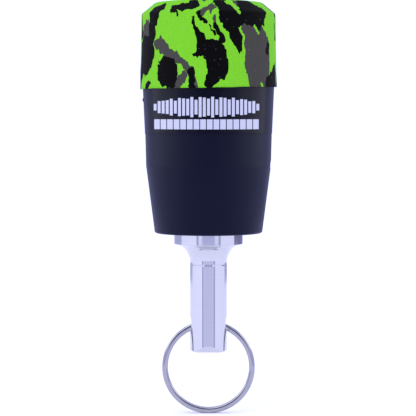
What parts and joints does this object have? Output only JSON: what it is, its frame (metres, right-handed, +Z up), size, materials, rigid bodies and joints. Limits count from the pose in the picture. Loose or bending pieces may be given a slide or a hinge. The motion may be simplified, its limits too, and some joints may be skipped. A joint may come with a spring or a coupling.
{
  "type": "electronic game caller",
  "caption": "Hand-held electronic game caller: tapered speaker housing under a pull-on camouflage sleeve, turned metal stem and split ring.",
  "frame": {"origin": "centre of the housing's flat underside, where the stem's flange is bolted up against it", "axes": "+Z up the caller's axis towards the speaker end, -Y towards the labelled front, X along the stem's cross-hole, with the button on -X and the charging port on +X"},
  "size_m": [0.0466, 0.0466, 0.1415],
  "materials": {
    "housing_abs": "fine moulded satin",
    "label_film": "satin printed film",
    "camo_knit": "stretch knit, printed in lime, charcoal and black",
    "grille_steel": "black powder coat",
    "turned_steel": "lathe turned and polished",
    "ring_steel": "nickel-plated spring wire",
    "seal_rubber": "matt",
    "soft_key_rubber": "matt silicone",
    "zinc_steel": "zinc plated",
    "speaker_steel": "black zinc",
    "ferrite": "sintered ferrite",
    "cone_paper": "pressed pulp",
    "spider_cloth": "resin-dipped cloth",
    "copper_coil": "enamelled copper wire",
    "terminal_board": "phenolic",
    "cell_can": "shrink-wrapped can",
    "tinned_plate": "nickel plated",
    "chassis_abs": "moulded",
    "board_laminate": "green solder mask",
    "chip_epoxy": "moulded epoxy",
    "capacitor_can": "drawn can",
    "plunger_nylon": "nylon",
    "clear_plastic": "clear polycarbonate",
    "lead_red": "red insulation",
    "lead_black": "black insulation"
  },
  "bodies": {
    "housing": {"amplifier_chip": "chip_epoxy", "battery_cell": "cell_can", "battery_contacts": "tinned_plate", "battery_lead_black": "lead_black", "battery_lead_red": "lead_red", "battery_socket": "plunger_nylon", "bezel_ring": "housing_abs", "board_capacitors": "capacitor_can", "board_screws": "zinc_steel", "button_seal": "seal_rubber", "chassis": "chassis_abs", "chassis_screws": "zinc_steel", "grille": "grille_steel", "grille_retainer": "grille_steel", "inductor": "chip_epoxy", "label_panel": "label_film", "light_pipe": "clear_plastic", "main_board": "board_laminate", "main_housing": "housing_abs", "memory_chip": "chip_epoxy", "port_cover_pin": "zinc_steel", "processor_chip": "chip_epoxy", "radio_module": "tinned_plate", "speaker_basket": "speaker_steel", "speaker_gasket": "seal_rubber", "speaker_lead_black": "lead_black", "speaker_lead_red": "lead_red", "speaker_magnet": "ferrite", "speaker_socket": "plunger_nylon", "speaker_terminals": "terminal_board", "speaker_top_plate": "speaker_steel", "speaker_yoke": "speaker_steel", "spider": "spider_cloth", "status_led": "clear_plastic", "stem": "turned_steel", "stem_nut": "zinc_steel", "stem_o_ring": "seal_rubber", "stem_washer": "zinc_steel", "surround": "seal_rubber", "switch_case": "chip_epoxy", "usb_receptacle": "tinned_plate"},
    "ring": {"split_ring": "ring_steel"},
    "sleeve": {"camo_sleeve": "camo_knit"},
    "button": {"power_button": "soft_key_rubber"},
    "plunger": {"switch_plunger": "plunger_nylon"},
    "cover": {"port_cover": "soft_key_rubber"},
    "cone": {"speaker_cone": "cone_paper", "voice_coil": "copper_coil", "dust_cap": "cone_paper"}
  },
  "joints": [
    {"name": "ring_swing", "type": "hinge", "parent": "housing", "child": "ring", "pos_m": [0, 0, -0.0312], "axis": [1, 0, 0], "range_deg": [-150, 150]},
    {"name": "sleeve_pull", "type": "slide", "parent": "housing", "child": "sleeve", "axis": [0, 0, 1], "range_m": [0, 0.032]},
    {"name": "button_press", "type": "slide", "parent": "housing", "child": "button", "axis": [1, 0, 0], "range_m": [0, 0.0005], "stiffness_N_per_m": 4000},
    {"name": "plunger_travel", "type": "slide", "parent": "housing", "child": "plunger", "axis": [1, 0, 0], "range_m": [0, 0.0005]},
    {"name": "port_cover_hinge", "type": "hinge", "parent": "housing", "child": "cover", "pos_m": [0.02007, 0.00061, 0.0233], "axis": [0, 1, 0], "range_deg": [0, 85]},
    {"name": "cone_travel", "type": "slide", "parent": "housing", "child": "cone", "axis": [0, 0, 1], "range_m": [-0.001, 0.001], "stiffness_N_per_m": 2000, "deforming": ["surround", "spider"]}
  ],
  "couplings": [
    {"joint": "plunger_travel", "follows": "button_press", "ratio": 1}
  ]
}
